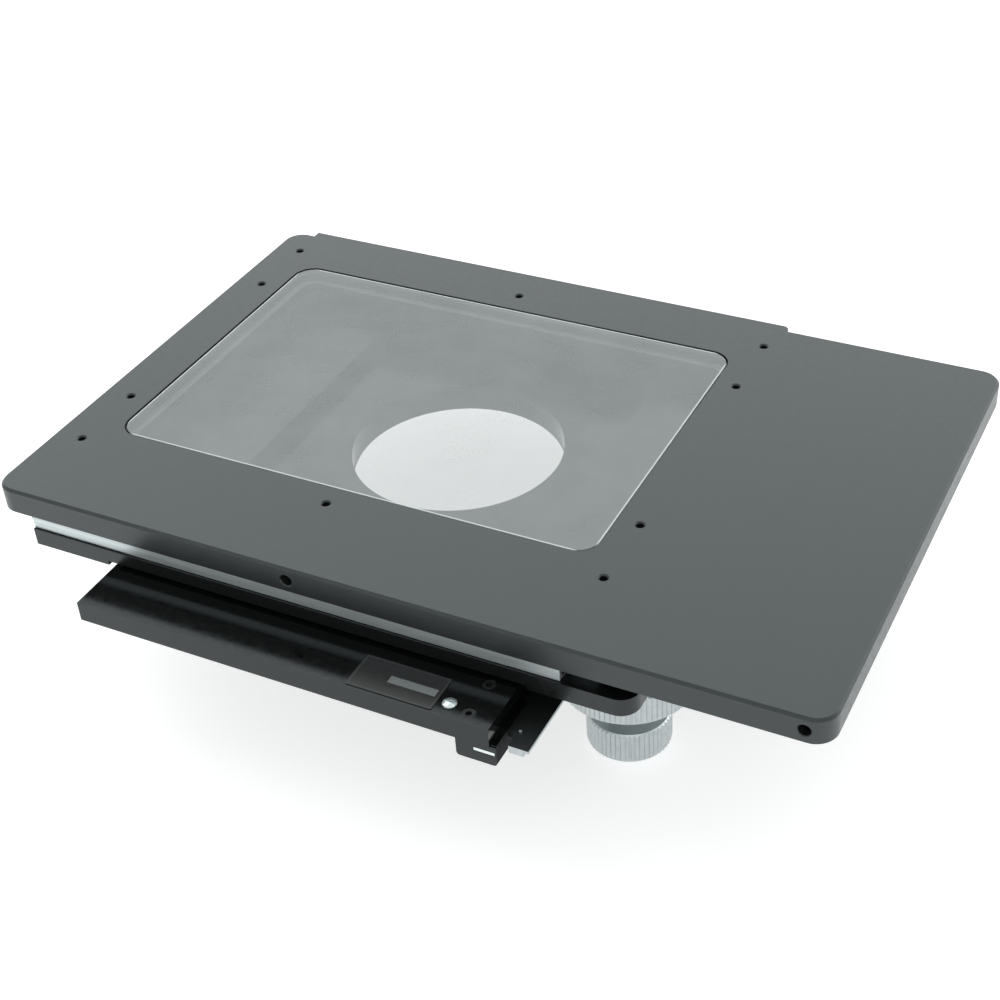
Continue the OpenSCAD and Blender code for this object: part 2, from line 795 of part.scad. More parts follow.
module base_plate() {
    travel = y_travel + face_gap + stop_pin_r - slot_w / 2;
    bore_chamfer = 0.5;
    color(deep_black) difference() {
        block(base_box, z_rack_plate, z_base);
        post([0, 0], bore_r, z_rack_plate - 1, z_base + 1);
        translate([0, 0, z_base - bore_chamfer + eps])
            cylinder(r1 = bore_r, r2 = bore_r + bore_chamfer, h = bore_chamfer);
        stand_holes(z_rack_plate - 1, z_base + 1);
        for (x = [-stand_x / 2, stand_x / 2]) {
            for (y = [-stand_y / 2, stand_y / 2]) {
                post([x, y], stand_head_r, z_base - stand_head_h, z_base + 1);
            }
        }
        block([slot_x - slot_w / 2, slot_x + slot_w / 2, -travel, travel], z_base - slot_depth, z_base + 1);
        for (y = [-travel, travel]) post([slot_x, y], slot_w / 2, z_base - slot_depth, z_base + 1);
        for (at = rack_plate_stations) post(at, rack_screw_r, z_rack_plate - 1, z_rack_plate + 6);
        for (at = clamp_screws) cap_screw_hole(at, z_base - 0.2, 2.75, 3, 1.5, 9, true);
        post(drag_at, drag_r, z_base - drag_h, z_base + 1);
    }
}

// The plate's upper part overhangs the rack teeth cut along its right edge
module rack_plate() {
    teeth_x = y_rack_pitch_x + addendum;
    centres = tooth_centres(rack_plate_y[0], y_rack_teeth_y1, drive_c[1]);
    teeth = [for (s = centres) for (p = rack_tooth(s)) [y_rack_pitch_x + p[1], p[0]]];
    outline = concat([[rack_plate_x0, rack_plate_y[0]], [y_rack_pitch_x - dedendum, rack_plate_y[0]]],
        teeth,
        [[teeth_x, y_rack_teeth_y1 + 1], [teeth_x, rack_plate_y[1]], [rack_plate_x0, rack_plate_y[1]]]);
    color(deep_black) difference() {
        union() {
            linear_extrude(y_rack_h) polygon(outline);
            block([rack_plate_x0, y_rack_lip_x, rack_plate_y[0], rack_plate_y[1]], y_rack_h, z_rack_plate);
        }
        post([0, 0], bore_r, -1, z_rack_plate + 1);
        stand_holes(-1, z_rack_plate + 1);
        block([clamp_box[0] - 0.2, clamp_box[1] + 0.2, clamp_box[2] - 1, clamp_box[3] + 0.2],
            -1, z_rack_plate + 1);
        block([clamp_box[1], clamp_notch[0], rack_plate_y[0] - 1, clamp_notch[1]], -1, z_rack_plate + 1);
        for (at = rack_plate_stations) {
            post(at, rack_screw_r, -1, z_rack_plate + 1);
            translate([at[0], at[1], -eps])
                cylinder(r1 = rack_screw_head + eps, r2 = rack_screw_r,
                    h = rack_screw_head - rack_screw_r + eps);
        }
        fixed_y_screw_set(true);
        post(plate_pin_at, pin_r, -1, z_rack_plate + 1);
    }
}

module rack_plate_screws() {
    sink = rack_screw_head - rack_screw_r;
    color(steel) for (at = rack_plate_stations) {
        difference() {
            union() {
                translate([at[0], at[1], 0]) cylinder(r1 = rack_screw_head, r2 = rack_screw_r, h = sink);
                post(at, rack_screw_r, sink, z_rack_plate + 5);
            }
            post(at, 1.2, -1, 0.8, $fn = 6);
        }
    }
}

plate_pin_at = [100.7, -142.9];
pin_r = 0.6;

module rack_plate_pin() {
    color(bright_alloy) post(plate_pin_at, pin_r, 0.5, z_rack_plate + 0.6);
}

module y_rail_left_fixed() {
    color(steel) difference() {
        y_rail(base_box[0], z_rack_plate, z_rail_fixed_y1, -1);
        fixed_y_screw_set(true);
    }
}

module y_rail_right_fixed() {
    color(steel) difference() {
        y_rail(base_box[1], z_rack_plate, z_rail_fixed_y1, 1);
        fixed_y_screw_set(true);
    }
}

module y_rail_screws_fixed() {
    color(deep_black) fixed_y_screw_set(false);
}

// Depth of the strip's pocket in the clamp block
clamp_pocket = 8;

module clamp_block() {
    corner = 1.5;
    box = clamp_box;
    gap = clamp_insert_gap;
    color(deep_black) difference() {
        union() {
            block(box, clamp_z0 + corner, z_rack_plate);
            block([box[0] + corner, box[1] - corner, box[2], box[3]], clamp_z0, z_rack_plate);
            for (x = [box[0] + corner, box[1] - corner]) bar_y(x, clamp_z0 + corner, corner, box[2], box[3]);
        }
        block([clamp_insert_x[0] - gap, clamp_insert_x[1] + gap, box[2] - 1, box[2] + clamp_pocket],
            clamp_insert_z[0] - gap, clamp_insert_z[1] + gap);
        block([box[0] - 1, box[1] + 1, box[2] - 1, box[2] + clamp_relief[0]],
            z_rack_plate - clamp_relief[1], z_rack_plate + 1);
        for (at = clamp_screws) post(at, 1.5, 0, z_rack_plate + 1);
    }
}

module clamp_block_insert() {
    color(bright_alloy)
        block([clamp_insert_x[0], clamp_insert_x[1], clamp_box[2] + 0.1, clamp_box[2] + clamp_pocket],
            clamp_insert_z[0], clamp_insert_z[1]);
}

module clamp_block_screws() {
    color(deep_black) for (at = clamp_screws) {
        cap_screw(at, z_base - 0.2, 2.75, 3, 1.5, z_base - 3.2 - 0.1, true);
    }
}

drag_at = [74.4, -147.6];
drag_r = 2.8;
drag_h = 5;

// Screw with a domed, slotted head standing just above the bar
module drag_screw() {
    half = 0.5;
    slot_floor = z_base + 0.1;
    z_rim = z_base + 0.2;
    dome_h = 0.9;
    cap_r = drag_r - 0.15;
    dome_r = (cap_r * cap_r + dome_h * dome_h) / (2 * dome_h);
    color(steel) difference() {
        union() {
            post(drag_at, drag_r, z_base - drag_h, z_rim);
            intersection() {
                translate([drag_at[0], drag_at[1], z_rim + dome_h - dome_r]) sphere(r = dome_r);
                post(drag_at, drag_r, z_rim - 0.1, z_rim + dome_h + 1);
            }
        }
        block([drag_at[0] - drag_r - 1, drag_at[0] + drag_r + 1, drag_at[1] - half, drag_at[1] + half],
            slot_floor, z_base + 2);
    }
}

label_box = [32.8, 69.7, -153.6, -136];

module label_plate() {
    color([0.30, 0.31, 0.31]) plate(label_box, 1, z_base, z_base + 0.3);
}

// ---- Outer drive: upper knob, tube and pinion, turns with Y travel ----

collar_z = [tube_bearing_z1 + 0.3, tube_bearing_z1 + 2.1];
tube_z = [knob_mid + 0.6, z_cross0 - 0.3];
hub_r = 10;
y_hub_top = -4;
pinion_hub_z = -3.4;

module y_drive_tube() {
    color(steel) sleeve(drive_c, tube_r, tube_bore_r, tube_z[0], tube_z[1]);
}

module y_pinion() {
    color(steel) difference() {
        union() {
            translate([drive_c[0], drive_c[1], y_pinion_z[0]])
                linear_extrude(y_pinion_z[1] - y_pinion_z[0]) pinion_outline(y_pinion_teeth, 180);
            post(drive_c, root_radius(y_pinion_teeth) - 0.4, pinion_hub_z, y_pinion_z[0]);
        }
        post(drive_c, tube_r, pinion_hub_z - 1, y_pinion_z[1] + 1);
    }
}

module tube_collar() {
    color(steel) sleeve(drive_c, bush_r - 0.4, tube_r, collar_z[0], collar_z[1]);
}

module tube_bushes() {
    bush_l = 8;
    color(bronze) {
        sleeve(drive_c, tube_bore_r, shaft_r + running, tube_z[1] - bush_l, tube_z[1]);
        sleeve(drive_c, tube_bore_r, shaft_r + running, tube_z[0], tube_z[0] + bush_l);
    }
}

// Turned grip with chamfered rims and a shallow turned recess in its lower face
module grip(r, z0, z1) {
    c = knob_chamfer;
    recess = 1.2;
    rim = 5;
    translate([drive_c[0], drive_c[1], 0]) difference() {
        union() {
            translate([0, 0, z0]) cylinder(r1 = r - c, r2 = r, h = c);
            translate([0, 0, z0 + c]) cylinder(r = r, h = z1 - z0 - 2 * c);
            translate([0, 0, z1 - c]) cylinder(r1 = r, r2 = r - c, h = c);
        }
        translate([0, 0, z0 - 1]) cylinder(r = r - rim, h = 1 + recess);
    }
}

grub_r = 1.5;
grub_socket_r = 0.8;
grub_socket_d = 1.4;
grub_setback = 0.5;

// Radial hole for a grub screw, from the drive bore out through the front of a hub
module grub_hole(z, hub) {
    bar_y(drive_c[0], z, grub_r, drive_c[1] - hub - 1, drive_c[1] - shaft_r / 2);
}

// Grub screw in that hole, tip against the shaft of the given radius
module grub_screw(z, shaft, hub) {
    y0 = drive_c[1] - hub + grub_setback;
    color(deep_black) difference() {
        bar_y(drive_c[0], z, grub_r, y0, drive_c[1] - shaft);
        translate([drive_c[0], y0 - 1, z]) rotate([-90, 0, 0])
            cylinder(r = grub_socket_r, h = 1 + grub_socket_d, $fn = 6);
    }
}

y_grub_z = (y_hub_top + knob_top) / 2;

module y_knob() {
    color(bright_alloy) difference() {
        union() {
            grip(y_knob_r, knob_mid, knob_top);
            post(drive_c, hub_r, knob_top - 1, y_hub_top);
        }
        post(drive_c, tube_r, knob_mid - 1, y_hub_top + 1);
        grub_hole(y_grub_z, hub_r);
    }
}

module y_knob_grub_screw() {
    grub_screw(y_grub_z, tube_r, hub_r);
}

// ---- Inner drive: lower knob, shaft and pinion, turns with X travel ----

neck_r = 9;
neck_top = knob_mid - 0.4;
shaft_end = x_grip_bottom + 4;
x_grub_z = neck_top - 6;

module x_drive_shaft() {
    color(steel) post(drive_c, shaft_r, shaft_end, x_pinion_z[1]);
}

module x_pinion() {
    color(steel) difference() {
        translate([drive_c[0], drive_c[1], x_pinion_z[0]])
            linear_extrude(x_pinion_z[1] - x_pinion_z[0]) pinion_outline(x_pinion_teeth, 270);
        post(drive_c, shaft_r, x_pinion_z[0] - 1, x_pinion_z[1] + 1);
    }
}

module x_thrust_washer() {
    color(bronze) sleeve(drive_c, cross_bush_r - 0.3, shaft_r, z_cross1 + 0.2, x_pinion_z[0]);
}

module x_knob() {
    color(bright_alloy) difference() {
        union() {
            grip(x_knob_r, x_grip_bottom, x_grip_top);
            post(drive_c, neck_r, x_grip_top - 1, neck_top);
        }
        post(drive_c, shaft_r, shaft_end, neck_top + 1);
        grub_hole(x_grub_z, neck_r);
    }
}

module x_knob_grub_screw() {
    grub_screw(x_grub_z, shaft_r, neck_r);
}

top_plate();
glass_insert();
glass_gasket();
rear_rail_carrier();
carrier_screws();
x_rail_front_moving();
x_rail_rear_moving();
x_rail_screws_moving();
x_rail_end_screws();
x_rack();
x_rack_screws();
x_stop_block();
x_stop_block_screws();
cross_plate();
x_rail_front_fixed();
x_rail_rear_fixed();
x_rail_screws_fixed();
x_stop_pins();
y_rail_left_moving();
y_rail_right_moving();
y_rail_screws_moving();
y_stop_pin();
bearing_block();
bearing_block_screws();
tube_bearing();
shaft_bearing();
x_cage_front();
x_cage_rear();
x_balls();
y_cage_left();
y_cage_right();
y_balls();
base_plate();
rack_plate();
rack_plate_screws();
rack_plate_pin();
y_rail_left_fixed();
y_rail_right_fixed();
y_rail_screws_fixed();
clamp_block();
clamp_block_insert();
clamp_block_screws();
drag_screw();
label_plate();
y_drive_tube();
y_pinion();
tube_collar();
y_knob();
y_knob_grub_screw();
tube_bushes();
x_drive_shaft();
x_pinion();
x_thrust_washer();
x_knob();
x_knob_grub_screw();
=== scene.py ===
"""Looks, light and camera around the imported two-axis stage."""

import math

import bmesh
import bpy
from mathutils import Matrix, Vector


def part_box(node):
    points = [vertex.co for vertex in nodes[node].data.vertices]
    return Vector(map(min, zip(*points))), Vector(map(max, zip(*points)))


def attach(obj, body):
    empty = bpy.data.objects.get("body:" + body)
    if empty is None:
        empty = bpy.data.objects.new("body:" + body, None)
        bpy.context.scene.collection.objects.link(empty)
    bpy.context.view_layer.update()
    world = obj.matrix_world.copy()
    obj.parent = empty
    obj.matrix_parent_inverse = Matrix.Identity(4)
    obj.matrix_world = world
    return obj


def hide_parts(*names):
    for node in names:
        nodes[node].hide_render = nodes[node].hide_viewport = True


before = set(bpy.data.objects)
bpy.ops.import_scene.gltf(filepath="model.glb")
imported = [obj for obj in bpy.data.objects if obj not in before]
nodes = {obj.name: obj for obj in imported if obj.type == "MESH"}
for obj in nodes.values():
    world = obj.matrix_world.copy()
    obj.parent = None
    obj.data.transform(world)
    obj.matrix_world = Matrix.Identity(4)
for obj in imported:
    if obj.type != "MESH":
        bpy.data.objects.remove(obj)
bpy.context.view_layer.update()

MM = 0.001
scene = bpy.context.scene
scene.view_settings.view_transform = "Standard"


# ---- Camera ----

LENS_MM = 62.956
SENSOR_MM = 36.0
CAMERA_AT = Vector((0.3263, -0.5478, 0.4567))
AZIMUTH = math.radians(27.624)
PITCH = math.radians(36.811)
ROLL = math.radians(-3.225)
SHIFT = (-0.0405, -0.0014)
CLIP_M = (0.01, 50)


def add_camera():
    """The camera, turned left of +Y by AZIMUTH, down by PITCH and rolled about its axis."""
    forward = Vector((
        -math.sin(AZIMUTH) * math.cos(PITCH),
        math.cos(AZIMUTH) * math.cos(PITCH),
        -math.sin(PITCH),
    ))
    level = Vector((math.cos(AZIMUTH), math.sin(AZIMUTH), 0))
    upright = level.cross(forward)
    right = level * math.cos(ROLL) + upright * math.sin(ROLL)
    up = upright * math.cos(ROLL) - level * math.sin(ROLL)
    data = bpy.data.cameras.new("camera")
    data.lens = LENS_MM
    data.sensor_width = SENSOR_MM
    data.shift_x, data.shift_y = SHIFT
    data.clip_start, data.clip_end = CLIP_M
    camera = bpy.data.objects.new("camera", data)
    camera.matrix_world = Matrix.Translation(CAMERA_AT) @ Matrix(
        (right, up, -forward)
    ).transposed().to_4x4()
    scene.collection.objects.link(camera)
    scene.camera = camera


add_camera()


# ---- Light and floor ----

FLOOR_Z = -0.056
FLOOR_HALF = 12.0
KEY_AT = (-1.3, 0.2, 1.9)
KEY_SIZE = 1.5
KEY_WATTS = 9
KEY_TINT = (0.95, 1.0, 1.0)
ROOM_TINT = (0.97, 1.0, 1.0, 1)
ROOM_NEAR = 0.85
ROOM_FAR = 1.8
ROOM_TURNS = (0.1, 0.65)


def area_light(name, at, target, size, watts, tint):
    """A soft square lamp that faces the target."""
    data = bpy.data.lights.new(name, "AREA")
    data.shape = "SQUARE"
    data.size = size
    data.energy = watts
    data.color = tint
    lamp = bpy.data.objects.new(name, data)
    direction = Vector(target) - Vector(at)
    lamp.matrix_world = (
        Matrix.Translation(at) @ direction.to_track_quat("-Z", "Y").to_matrix().to_4x4()
    )
    scene.collection.objects.link(lamp)


area_light("key", KEY_AT, (0, 0, 0), KEY_SIZE, KEY_WATTS, KEY_TINT)


def add_world():
    """A cool white room, of strength ROOM_NEAR in front of the stage and ROOM_FAR behind it. It
    turns from one to the other where the Y part of the direction is in ROOM_TURNS."""
    world = bpy.data.worlds.new("studio")
    world.use_nodes = True
    tree = world.node_tree
    sky = tree.nodes["Background"]
    sky.inputs["Color"].default_value = ROOM_TINT
    way = tree.nodes.new("ShaderNodeTexCoord")
    parts = tree.nodes.new("ShaderNodeSeparateXYZ")
    level = tree.nodes.new("ShaderNodeMapRange")
    for key, value in (
        ("From Min", ROOM_TURNS[0]), ("From Max", ROOM_TURNS[1]),
        ("To Min", ROOM_NEAR), ("To Max", ROOM_FAR),
    ):
        level.inputs[key].default_value = value
    tree.links.new(way.outputs["Generated"], parts.inputs[0])
    tree.links.new(parts.outputs["Y"], level.inputs["Value"])
    tree.links.new(level.outputs[0], sky.inputs["Strength"])
    scene.world = world


add_world()


# ---- Material helpers ----


class Surface:
    """A procedural material: one Principled shader, with short calls for the nodes that feed it."""

    def __init__(self, name, **constants):
        self.material = bpy.data.materials.new(name)
        self.material.use_nodes = True
        self.tree = self.material.node_tree
        self.shader = self.tree.nodes["Principled BSDF"]
        self.place = self.tree.nodes.new("ShaderNodeTexCoord")
        for key, value in constants.items():
            self.shader.inputs[key.replace("_", " ")].default_value = value

    def node(self, kind, *inputs, **settings):
        """A node with its settings made and its inputs, in order, linked or set."""
        made = self.tree.nodes.new(kind)
        for key, value in settings.items():
            setattr(made, key, value)
        for socket, value in zip(made.inputs, inputs):
            self.feed(socket, value)
        return made

    def feed(self, socket, value):
        """Links a socket, sets a number or colour, or leaves the input alone for None."""
        if isinstance(value, bpy.types.NodeSocket):
            self.tree.links.new(value, socket)
        elif value is not None:
            socket.default_value = value

    def set(self, name, value):
        """The shader's input of that name, linked or set."""
        self.feed(self.shader.inputs[name], value)

    def where(self):
        """The place on the piece, in the row frame, in metres."""
        return self.place.outputs["Object"]

    def facing(self):
        """The absolute X, Y and Z parts of the surface direction."""
        parts = self.node("ShaderNodeSeparateXYZ", self.place.outputs["Normal"])
        return [self.calc("ABSOLUTE", out) for out in parts.outputs]

    def xyz(self):
        return self.node("ShaderNodeSeparateXYZ", self.where()).outputs

    def calc(self, operation, a, b=None):
        return self.node("ShaderNodeMath", a, b, operation=operation).outputs[0]

    def noise(self, scale, detail=3.0, stretch=(1, 1, 1)):
        mapped = self.node("ShaderNodeMapping", self.where(), None, None, stretch)
        made = self.node("ShaderNodeTexNoise", noise_dimensions="3D")
        self.feed(made.inputs["Vector"], mapped.outputs[0])
        made.inputs["Scale"].default_value = scale
        made.inputs["Detail"].default_value = detail
        made.inputs["Roughness"].default_value = 0.55
        return made.outputs["Fac"]

    def spread(self, value, low, high, start=0.3, end=0.7):
        """The value's range start to end, carried to low to high."""
        made = self.node("ShaderNodeMapRange", clamp=True)
        for key, number in (
            ("Value", value), ("From Min", start), ("From Max", end),
            ("To Min", low), ("To Max", high),
        ):
            self.feed(made.inputs[key], number)
        return made.outputs[0]

    def blend(self, amount, a, b):
        """Colour a where amount is 0 and b where it is 1."""
        made = self.node("ShaderNodeMix", data_type="RGBA")
        # A colour mix has its factor at input 0, its colours at 6 and 7 and its result at 2.
        for place, value in ((0, amount), (6, a), (7, b)):
            self.feed(made.inputs[place], value)
        return made.outputs[2]

    def relief(self, height, depth):
        """A bump of that depth in metres."""
        made = self.node("ShaderNodeBump")
        made.inputs["Distance"].default_value = depth
        self.feed(made.inputs["Height"], height)
        return made.outputs[0]


COOL_BASE = (0.93, 1.0, 1.01)
COOL_GLOSS = (0.90, 1.0, 1.02, 1)


def grey(value):
    """A cool grey of that linear value."""
    return tuple(value * part for part in COOL_BASE) + (1,)


# ---- Materials ----

def anodised(name, tone, rough, grain, ior=1.6, dull_ends=0.0):
    """Bead-blasted aluminium with a satin black coat, rubbed a little on its chamfers. Faces
    that look along X are duller by dull_ends, as sawn."""
    s = Surface(name, IOR=ior, Specular_Tint=COOL_GLOSS)
    mottle = s.noise(90, 4)
    fine = s.noise(1800, 2)
    tint = s.blend(s.spread(mottle, 0, 1), grey(tone * 0.92), grey(tone * 1.08))
    tint = s.blend(s.spread(fine, 0, 0.35), tint, grey(tone * 1.35))
    up = s.facing()[2]
    bevel = s.calc("MULTIPLY", s.spread(up, 0, 1, 0.3, 0.6), s.spread(up, 1, 0, 0.8, 0.97))
    rub = s.calc("MULTIPLY", bevel, s.spread(s.noise(260, 5), 0.1, 0.55))
    s.set("Base Color", s.blend(rub, tint, grey(tone * 2.5)))
    gloss = s.spread(s.noise(400, 3), rough - 0.04, rough + 0.05)
    if dull_ends:
        gloss = s.calc("ADD", gloss, s.spread(s.facing()[0], 0, dull_ends, 0.8, 0.9))
    s.set("Roughness", gloss)
    s.set("Normal", s.relief(fine, grain))
    return s.material


def ground_steel(name, along, tone=0.62, rough=0.42):
    """Steel ground in one direction, with fine scratches and darker streaks."""
    s = Surface(name, Metallic=0.85, Anisotropic=0.35)
    stretch = [1.0, 1.0, 1.0]
    stretch[along] = 0.012
    lines = s.noise(5200, 3, stretch)
    streaks = s.noise(900, 3, stretch)
    tint = s.blend(s.spread(streaks, 0, 1), grey(tone * 0.88), grey(tone * 1.1))
    s.set("Base Color", tint)
    s.set("Roughness", s.spread(lines, rough - 0.06, rough + 0.1))
    s.set("Normal", s.relief(lines, 0.000004))
    return s.material


def turned_alloy(name, axis, tone=0.78, rough=0.24):
    """Bright metal with the fine circular lines that a lathe leaves round its axis."""
    s = Surface(name, Metallic=1.0)
    x, y, z = s.xyz()
    dx = s.calc("SUBTRACT", x, axis[0])
    dy = s.calc("SUBTRACT", y, axis[1])
    radius = s.calc("SQRT", s.calc("ADD", s.calc("MULTIPLY", dx, dx), s.calc("MULTIPLY", dy, dy)))
    ring = s.node("ShaderNodeCombineXYZ", radius, z, 0.0).outputs[0]
    lines = s.node("ShaderNodeTexNoise", noise_dimensions="3D")
    s.feed(lines.inputs["Vector"], ring)
    lines.inputs["Scale"].default_value = 4500
    lines.inputs["Detail"].default_value = 2
    cut = lines.outputs["Fac"]
    wear = s.noise(350, 4)
    s.set("Base Color", s.blend(s.spread(wear, 0, 1), grey(tone * 0.92), grey(tone * 1.05)))
    s.set("Roughness", s.spread(cut, rough - 0.05, rough + 0.10))
    s.set("Normal", s.relief(cut, 0.000003))
    return s.material


def oxide_screw(name):
    """Black oxide steel, a little lighter and glossier in worn patches that lie at random."""
    s = Surface(name, Metallic=0.6, IOR=1.6)
    worn = s.noise(1400, 4)
    s.set("Base Color", s.blend(s.spread(worn, 0, 1, 0.45, 0.7), grey(0.02), grey(0.07)))
    s.set("Roughness", s.spread(worn, 0.38, 0.26))
    s.set("Normal", s.relief(worn, 0.000006))
    return s.material


def bronze(name):
    """Sintered bronze, fine pores and a slightly uneven tone."""
    s = Surface(name, Metallic=1.0)
    pores = s.noise(2600, 2)
    tint = s.blend(s.spread(s.noise(300, 3), 0, 1), (0.50, 0.34, 0.16, 1), (0.64, 0.45, 0.22, 1))
    s.set("Base Color", tint)
    s.set("Roughness", s.spread(pores, 0.3, 0.45))
    s.set("Normal", s.relief(pores, 0.000008))
    return s.material


def black_base(name, dull_ends=0.0):
    """The base's coat: deeper and smoother than the top plate's."""
    return anodised(name, 0.0025, 0.13, 0.0000002, 1.45, dull_ends)


BARE_RIGHT = (100.5 * MM, 101.0 * MM)
BARE_FRONT = (-150.5 * MM, -150.0 * MM)
BARE_FRONT_FROM = (90 * MM, 91 * MM)


def cut_plate(name):
    """Black plate, bare and bright where its right edge and right front edge were cut."""
    s = Surface(name, IOR=1.5, Specular_Tint=COOL_GLOSS)
    fine = s.noise(1800, 2)
    up = s.facing()[2]
    x, y = s.xyz()[:2]
    right = s.spread(x, 0, 1, *BARE_RIGHT)
    front = s.calc(
        "MULTIPLY", s.spread(y, 1, 0, *BARE_FRONT), s.spread(x, 0, 1, *BARE_FRONT_FROM),
    )
    outer = s.calc("MAXIMUM", right, front)
    bare = s.calc("MULTIPLY", s.spread(up, 1, 0, 0.3, 0.6), outer)
    lines = s.noise(3500, 3, (1, 1, 0.05))
    metal = s.blend(s.spread(lines, 0, 1), grey(0.42), grey(0.55))
    black = s.blend(s.spread(fine, 0, 1), grey(0.005), grey(0.008))
    s.set("Base Color", s.blend(bare, black, metal))
    s.set("Metallic", s.calc("MULTIPLY", bare, 0.9))
    s.set("Roughness", s.spread(lines, 0.30, 0.42))
    s.set("Normal", s.relief(s.noise(2600, 2), 0.000004))
    return s.material


GLASS_BEVEL = 1.1 * MM
GLASS_BLUR = 0.2 * MM
GLASS_SPLIT = 1.0 * MM
GLASS_GROUND = 2.5 * MM
GROUND_ALPHA = 0.35


def glass(name):
    """Clear plate glass with a veil on its upper face, a ground rim round it, and sides that
    are ground to GLASS_GROUND below the face, with a clearer line GLASS_SPLIT below it."""
    s = Surface(name, IOR=1.5, Metallic=0.0)
    lo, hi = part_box("glass_insert")
    x, y, z = s.xyz()
    reach = []
    for value, low, high in ((x, lo.x, hi.x), (y, lo.y, hi.y)):
        off = s.calc("ABSOLUTE", s.calc("SUBTRACT", value, (low + high) / 2))
        reach.append(s.calc("SUBTRACT", off, (high - low) / 2 - GLASS_BEVEL))
    up = s.facing()[2]
    rim = s.spread(s.calc("MAXIMUM", *reach), 0, 1, -GLASS_BLUR, GLASS_BLUR)
    face = s.calc("MULTIPLY", rim, up)
    side = s.spread(up, 1, 0, 0.3, 0.6)
    ground_z = hi.z - GLASS_GROUND
    upper = s.spread(z, 0, 1, ground_z - 0.1 * MM, ground_z + 0.1 * MM)
    off_split = s.calc("ABSOLUTE", s.calc("SUBTRACT", z, hi.z - GLASS_SPLIT))
    split = s.spread(off_split, 0.3, 1, 0.1 * MM, 0.3 * MM)
    wall = s.calc("MULTIPLY", s.calc("MULTIPLY", side, upper), split)
    ground = s.calc("MAXIMUM", face, wall)
    smudge = s.noise(45, 5)
    dust = s.noise(900, 2)
    veil_tint = s.blend(s.spread(smudge, 0, 1), (0.37, 0.395, 0.39, 1), (0.40, 0.425, 0.42, 1))
    s.set("Base Color", s.blend(ground, veil_tint, (0.66, 0.70, 0.70, 1)))
    veil = s.calc("ADD", s.spread(smudge, 0.49, 0.51), s.spread(dust, 0, 0.006, 0.6, 0.8))
    at_face = s.spread(z, 0, 1, hi.z - 0.2 * MM, hi.z - 0.1 * MM)
    upper_face = s.calc("MULTIPLY", up, at_face)
    veil = s.calc("MULTIPLY", veil, upper_face)
    s.set("Alpha", s.calc("ADD", veil, s.calc("MULTIPLY", ground, GROUND_ALPHA)))
    s.set("Roughness", s.spread(smudge, 0.06, 0.11))
    s.set("Normal", s.relief(smudge, 0.000002))
    return s.material


def gasket(name):
    """Grey seat tape with a short fibre grain."""
    s = Surface(name, IOR=1.45)
    fibre = s.noise(1500, 3)
    s.set("Base Color", s.blend(s.spread(fibre, 0, 1), grey(0.24), grey(0.28)))
    s.set("Roughness", s.spread(fibre, 0.55, 0.7))
    s.set("Normal", s.relief(fibre, 0.00002))
    return s.material


LABEL_FIELD = (47.4 * MM, 67.7 * MM, -146.9 * MM, -143.2 * MM)
LABEL_BLUR = 0.05 * MM


def label(name):
    """Dark foil with a thin frame and one blank light field."""
    s = Surface(name, IOR=1.5)
    x, y = s.xyz()[:2]

    def past(value, low, high):
        off = s.calc("ABSOLUTE", s.calc("SUBTRACT", value, (low + high) / 2))
        return s.calc("SUBTRACT", off, (high - low) / 2)

    def inside(x0, x1, y0, y1):
        off = s.calc("MAXIMUM", past(x, x0, x1), past(y, y0, y1))
        return s.spread(off, 1, 0, -LABEL_BLUR, LABEL_BLUR)

    lo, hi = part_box("label_plate")
    outside = 0.6 * MM
    within = 0.9 * MM
    outer = inside(lo.x + outside, hi.x - outside, lo.y + outside, hi.y - outside)
    inner = inside(lo.x + within, hi.x - within, lo.y + within, hi.y - within)
    rim = s.calc("SUBTRACT", outer, inner)
    field = inside(*LABEL_FIELD)
    grain = s.noise(1600, 3)
    dark = s.blend(s.spread(grain, 0, 1), grey(0.010), grey(0.016))
    tint = s.blend(rim, dark, grey(0.05))
    tint = s.blend(field, tint, s.blend(s.spread(grain, 0, 1), grey(0.14), grey(0.18)))
    s.set("Base Color", tint)
    s.set("Roughness", s.spread(grain, 0.26, 0.32))
    s.set("Normal", s.relief(grain, 0.000001))
    return s.material


def floor_material():
    """Pale matt ground with a glow of its own, so that it stays light under the object."""
    s = Surface("floor_sweep", Roughness=0.9, Emission_Strength=0.64)
    cloud = s.noise(3, 2)
    tint = s.blend(s.spread(cloud, 0, 1), (0.56, 0.57, 0.57, 1), (0.60, 0.605, 0.605, 1))
    s.set("Base Color", tint)
    s.shader.inputs["Emission Color"].default_value = (1.0, 1.0, 1.0, 1)
    return s.material


def add_floor():
    """One wide flat sheet below the lower knob."""
    mesh = bpy.data.meshes.new("floor")
    bm = bmesh.new()
    corners = [(-1, -1), (1, -1), (1, 1), (-1, 1)]
    bm.faces.new([bm.verts.new((a * FLOOR_HALF, b * FLOOR_HALF, FLOOR_Z)) for a, b in corners])
    bm.to_mesh(mesh)
    bm.free()
    mesh.materials.append(floor_material())
    floor = bpy.data.objects.new("floor", mesh)
    scene.collection.objects.link(floor)


add_floor()


# ---- Finishes on the CAD nodes ----

